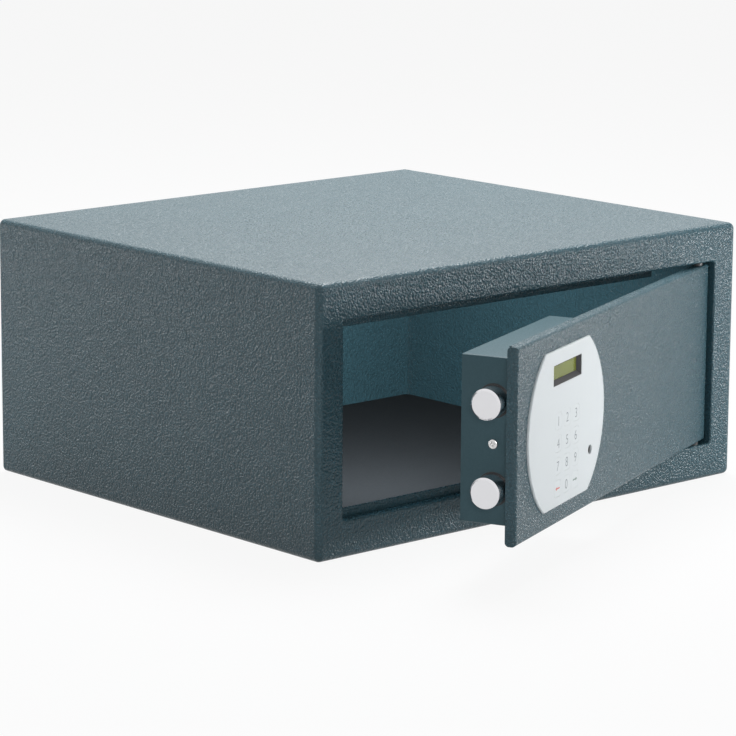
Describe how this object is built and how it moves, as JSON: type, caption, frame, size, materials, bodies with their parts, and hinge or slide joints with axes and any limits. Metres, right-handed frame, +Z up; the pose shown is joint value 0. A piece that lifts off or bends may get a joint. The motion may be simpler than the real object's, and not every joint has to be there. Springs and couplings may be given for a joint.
{
  "type": "furniture safe",
  "caption": "Laptop-size furniture safe: folded steel casing, inset door with keypad and display, motor-driven round bolts on its lock box.",
  "frame": {"origin": "middle of the floor anchor holes, on the underside", "axes": "+Z up, -Y to the front where the door is, +X to the hinge side"},
  "size_m": [0.43, 0.5145, 0.2],
  "materials": {
    "powder_coat": "fine leather-grain powder coat, blue-grey, satin",
    "box_paint": "smooth blue-grey paint, satin",
    "zinc_steel": "zinc plated, dull",
    "pin_steel": "ground steel",
    "screw_steel": "nickel plated, satin",
    "bolt_chrome": "satin chrome, turned end",
    "bush_plastic": "black moulded",
    "gear_steel": "oiled steel",
    "gearbox_plastic": "black moulded, fine texture",
    "motor_steel": "plated can",
    "fascia_plastic": "pale grey, fine texture",
    "key_plastic": "pale grey, printed digits",
    "bezel_plastic": "dark grey, satin",
    "clear_window": "clear, polished",
    "display_glass": "olive display",
    "keypad_silicone": "translucent grey silicone",
    "board_laminate": "green laminate",
    "lock_nickel": "nickel plated",
    "battery_wrap": "plain dark sleeve",
    "contact_nickel": "nickel plated strip",
    "felt": "dark grey felt"
  },
  "bodies": {
    "casing": {"body_shell": "powder_coat", "back_panel": "powder_coat", "upper_stop_strip": "powder_coat", "lower_stop_strip": "powder_coat", "upper_hinge_bracket": "zinc_steel", "lower_hinge_bracket": "zinc_steel", "upper_hinge_pin": "pin_steel", "lower_hinge_pin": "pin_steel", "hinge_washers": "bush_plastic", "floor_mat": "felt"},
    "door": {"door_plate": "powder_coat", "upper_hinge_block": "zinc_steel", "lower_hinge_block": "zinc_steel", "lock_case": "box_paint", "lock_cover": "box_paint", "cover_screws": "screw_steel", "chassis_plate": "zinc_steel", "chassis_spacers": "zinc_steel", "chassis_screws": "screw_steel", "fascia": "fascia_plastic", "fascia_screws": "screw_steel", "keypad_mat": "keypad_silicone", "circuit_board": "board_laminate", "board_screws": "screw_steel", "display_bezel": "bezel_plastic", "display_window": "clear_window", "display_module": "display_glass", "bolt_bushes": "bush_plastic", "guide_rod": "zinc_steel", "guide_rod_screw": "screw_steel", "gearbox": "gearbox_plastic", "gearbox_screws": "screw_steel", "drive_motor": "motor_steel", "emergency_lock_body": "lock_nickel", "emergency_lock_nut": "zinc_steel", "battery_holder": "gearbox_plastic", "batteries": "battery_wrap", "battery_contacts": "contact_nickel"},
    "bolt_works": {"upper_bolt": "bolt_chrome", "lower_bolt": "bolt_chrome", "bolt_carrier": "zinc_steel", "bolt_screws": "screw_steel", "drive_rack": "gear_steel"},
    "pinion": {"drive_pinion": "gear_steel"},
    "barrel": {"emergency_barrel": "lock_nickel", "emergency_cam": "zinc_steel"},
    "lid": {"battery_lid": "box_paint"},
    "key_1": {"key_1": "key_plastic"},
    "key_2": {"key_2": "key_plastic"},
    "key_3": {"key_3": "key_plastic"},
    "key_4": {"key_4": "key_plastic"},
    "key_5": {"key_5": "key_plastic"},
    "key_6": {"key_6": "key_plastic"},
    "key_7": {"key_7": "key_plastic"},
    "key_8": {"key_8": "key_plastic"},
    "key_9": {"key_9": "key_plastic"},
    "key_cancel": {"key_cancel": "key_plastic"},
    "key_0": {"key_0": "key_plastic"},
    "key_confirm": {"key_confirm": "key_plastic"}
  },
  "joints": [
    {"name": "door_hinge", "type": "hinge", "parent": "casing", "child": "door", "pos_m": [0.1775, -0.1815, 0.1], "axis": [0, 0, 1], "range_deg": [-22.6, 102.4]},
    {"name": "bolt_throw", "type": "slide", "parent": "door", "child": "bolt_works", "axis": [0.9232, 0.3843, 0], "range_m": [0, 0.0155]},
    {"name": "pinion_turn", "type": "hinge", "parent": "door", "child": "pinion", "pos_m": [-0.09611, -0.27752, 0.078], "axis": [-0.3843, 0.9232, 0], "range_deg": [0, 98.8]},
    {"name": "emergency_turn", "type": "hinge", "parent": "door", "child": "barrel", "pos_m": [-0.04222, -0.26646, 0.07296], "axis": [-0.3843, 0.9232, 0], "range_deg": [0, 90]},
    {"name": "lid_hinge", "type": "hinge", "parent": "door", "child": "lid", "pos_m": [-0.06424, -0.24205, 0.1048], "axis": [-0.9232, -0.3843, 0], "range_deg": [0, 95]},
    {"name": "key_1_press", "type": "slide", "parent": "door", "child": "key_1", "axis": [-0.3843, 0.9232, 0], "range_m": [0, 0.0004], "stiffness_N_per_m": 1500},
    {"name": "key_2_press", "type": "slide", "parent": "door", "child": "key_2", "axis": [-0.3843, 0.9232, 0], "range_m": [0, 0.0004], "stiffness_N_per_m": 1500},
    {"name": "key_3_press", "type": "slide", "parent": "door", "child": "key_3", "axis": [-0.3843, 0.9232, 0], "range_m": [0, 0.0004], "stiffness_N_per_m": 1500},
    {"name": "key_4_press", "type": "slide", "parent": "door", "child": "key_4", "axis": [-0.3843, 0.9232, 0], "range_m": [0, 0.0004], "stiffness_N_per_m": 1500},
    {"name": "key_5_press", "type": "slide", "parent": "door", "child": "key_5", "axis": [-0.3843, 0.9232, 0], "range_m": [0, 0.0004], "stiffness_N_per_m": 1500},
    {"name": "key_6_press", "type": "slide", "parent": "door", "child": "key_6", "axis": [-0.3843, 0.9232, 0], "range_m": [0, 0.0004], "stiffness_N_per_m": 1500},
    {"name": "key_7_press", "type": "slide", "parent": "door", "child": "key_7", "axis": [-0.3843, 0.9232, 0], "range_m": [0, 0.0004], "stiffness_N_per_m": 1500},
    {"name": "key_8_press", "type": "slide", "parent": "door", "child": "key_8", "axis": [-0.3843, 0.9232, 0], "range_m": [0, 0.0004], "stiffness_N_per_m": 1500},
    {"name": "key_9_press", "type": "slide", "parent": "door", "child": "key_9", "axis": [-0.3843, 0.9232, 0], "range_m": [0, 0.0004], "stiffness_N_per_m": 1500},
    {"name": "key_cancel_press", "type": "slide", "parent": "door", "child": "key_cancel", "axis": [-0.3843, 0.9232, 0], "range_m": [0, 0.0004], "stiffness_N_per_m": 1500},
    {"name": "key_0_press", "type": "slide", "parent": "door", "child": "key_0", "axis": [-0.3843, 0.9232, 0], "range_m": [0, 0.0004], "stiffness_N_per_m": 1500},
    {"name": "key_confirm_press", "type": "slide", "parent": "door", "child": "key_confirm", "axis": [-0.3843, 0.9232, 0], "range_m": [0, 0.0004], "stiffness_N_per_m": 1500}
  ],
  "couplings": [
    {"joint": "pinion_turn", "follows": "bolt_throw", "rad_per_m": 111.11}
  ]
}
